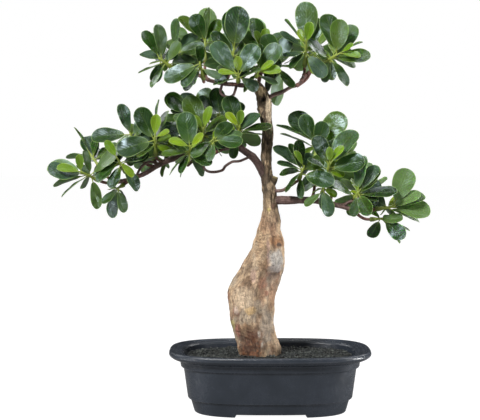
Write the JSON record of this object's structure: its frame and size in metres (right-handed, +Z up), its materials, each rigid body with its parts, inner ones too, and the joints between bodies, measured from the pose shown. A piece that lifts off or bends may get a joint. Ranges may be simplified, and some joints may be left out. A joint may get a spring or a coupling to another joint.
{
  "type": "ficus bonsai",
  "caption": "Artificial ficus bonsai: a bulging wooden trunk with a bent top, moulded branches and obovate leaves in sprays, in an oval footed planter.",
  "frame": {"origin": "middle of the object's bounding box, on the surface that the planter's feet rest on", "axes": "+Z up along the trunk; +X to the right in the front view, along the planter's length; -Y towards the viewer in the front view"},
  "size_m": [0.4572, 0.1752, 0.4862],
  "materials": {
    "pot": "satin",
    "soil": "matte",
    "trunk": "matte",
    "branch": "matte",
    "leaf": "satin",
    "young_leaf": "satin"
  },
  "bodies": {
    "root": {"pot": "pot", "soil": "soil", "trunk": "trunk", "branch_left": "branch", "branch_right": "branch", "branch_right_thin": "branch", "branch_top_right": "branch", "branch_top_left": "branch", "branch_top": "branch", "spray_far_left_low": "leaf", "spray_far_left_back": "leaf", "spray_left_outer": "leaf", "spray_left_under": "leaf", "spray_left_high": "leaf", "spray_left_middle": "leaf", "spray_left_inner_back": "leaf", "spray_middle_front": "leaf", "spray_middle_high": "leaf", "spray_middle_back": "leaf", "spray_middle_low": "leaf", "spray_inner_front": "leaf", "spray_inner_back": "leaf", "spray_left_rear": "leaf", "spray_middle_rear": "leaf", "spray_crown_far_left": "leaf", "spray_crown_left_back": "leaf", "spray_crown_left": "leaf", "spray_crown_left_high": "leaf", "spray_crown_middle": "leaf", "spray_crown_middle_front": "leaf", "spray_crown_inner_front": "leaf", "spray_crown_centre": "leaf", "spray_crown_right": "leaf", "spray_crown_right_high": "leaf", "spray_crown_far_right": "leaf", "spray_crown_left_rear": "leaf", "spray_crown_rear": "leaf", "spray_crown_right_rear": "leaf", "spray_right_inner": "leaf", "spray_right_high": "leaf", "spray_right_middle": "leaf", "spray_right_outer": "leaf", "spray_right_low": "leaf", "spray_right_end": "leaf", "spray_right_end_low": "leaf", "spray_right_rear": "leaf", "spray_right_end_rear": "leaf", "young_far_left_low": "young_leaf", "young_left_outer": "young_leaf", "young_left_middle": "young_leaf", "young_middle_front": "young_leaf", "young_middle_high": "young_leaf", "young_inner_front": "young_leaf", "young_crown_middle_front": "young_leaf", "young_crown_inner_front": "young_leaf", "young_crown_centre": "young_leaf", "young_crown_right_high": "young_leaf", "young_crown_far_right": "young_leaf", "young_right_inner": "young_leaf", "young_right_middle": "young_leaf"}
  },
  "joints": []
}
